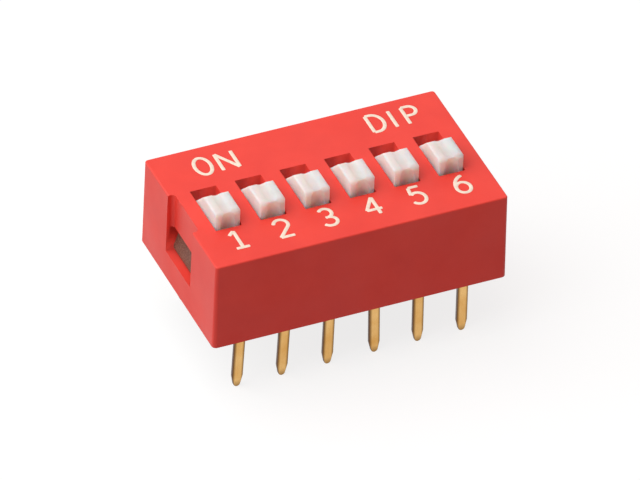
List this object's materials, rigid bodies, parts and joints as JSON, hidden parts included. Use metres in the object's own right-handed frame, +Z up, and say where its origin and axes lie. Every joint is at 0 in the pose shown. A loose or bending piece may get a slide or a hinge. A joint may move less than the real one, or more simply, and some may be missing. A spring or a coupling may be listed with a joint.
{
  "type": "dip switch",
  "caption": "Slide-type DIP switch: moulded box cover on a terminal base, a row of raised sliders that each move between OFF and ON, and two rows of straight through-hole legs.",
  "frame": {"origin": "centre of the seating plane, which is the underside of the base", "axes": "+X along the row of positions, from position 1 to the last; +Y towards the ON side; +Z up, out of the top face. Sliders are at OFF."},
  "size_m": [0.0168, 0.0098, 0.01],
  "materials": {
    "cover_plastic": "red PBT, injection moulded, satin",
    "base_plastic": "dark brown-black PBT, injection moulded",
    "slider_plastic": "off-white nylon, injection moulded",
    "contact_metal": "gold-plated copper alloy spring strip",
    "terminal_metal": "gold-plated brass strip, stamped",
    "print_ink": "cream-white pad-printing ink"
  },
  "bodies": {
    "housing": {"cover": "cover_plastic", "base": "base_plastic", "terminal_1": "terminal_metal", "terminal_2": "terminal_metal", "terminal_3": "terminal_metal", "terminal_4": "terminal_metal", "terminal_5": "terminal_metal", "terminal_6": "terminal_metal", "terminal_7": "terminal_metal", "terminal_8": "terminal_metal", "terminal_9": "terminal_metal", "terminal_10": "terminal_metal", "terminal_11": "terminal_metal", "terminal_12": "terminal_metal"},
    "position_1": {"slider_1": "slider_plastic", "contact_1": "contact_metal"},
    "position_2": {"slider_2": "slider_plastic", "contact_2": "contact_metal"},
    "position_3": {"slider_3": "slider_plastic", "contact_3": "contact_metal"},
    "position_4": {"slider_4": "slider_plastic", "contact_4": "contact_metal"},
    "position_5": {"slider_5": "slider_plastic", "contact_5": "contact_metal"},
    "position_6": {"slider_6": "slider_plastic", "contact_6": "contact_metal"}
  },
  "joints": [
    {"name": "slider_1_travel", "type": "slide", "parent": "housing", "child": "position_1", "axis": [0, 1, 0], "range_m": [0, 0.00066]},
    {"name": "slider_2_travel", "type": "slide", "parent": "housing", "child": "position_2", "axis": [0, 1, 0], "range_m": [0, 0.00066]},
    {"name": "slider_3_travel", "type": "slide", "parent": "housing", "child": "position_3", "axis": [0, 1, 0], "range_m": [0, 0.00066]},
    {"name": "slider_4_travel", "type": "slide", "parent": "housing", "child": "position_4", "axis": [0, 1, 0], "range_m": [0, 0.00066]},
    {"name": "slider_5_travel", "type": "slide", "parent": "housing", "child": "position_5", "axis": [0, 1, 0], "range_m": [0, 0.00066]},
    {"name": "slider_6_travel", "type": "slide", "parent": "housing", "child": "position_6", "axis": [0, 1, 0], "range_m": [0, 0.00066]}
  ]
}
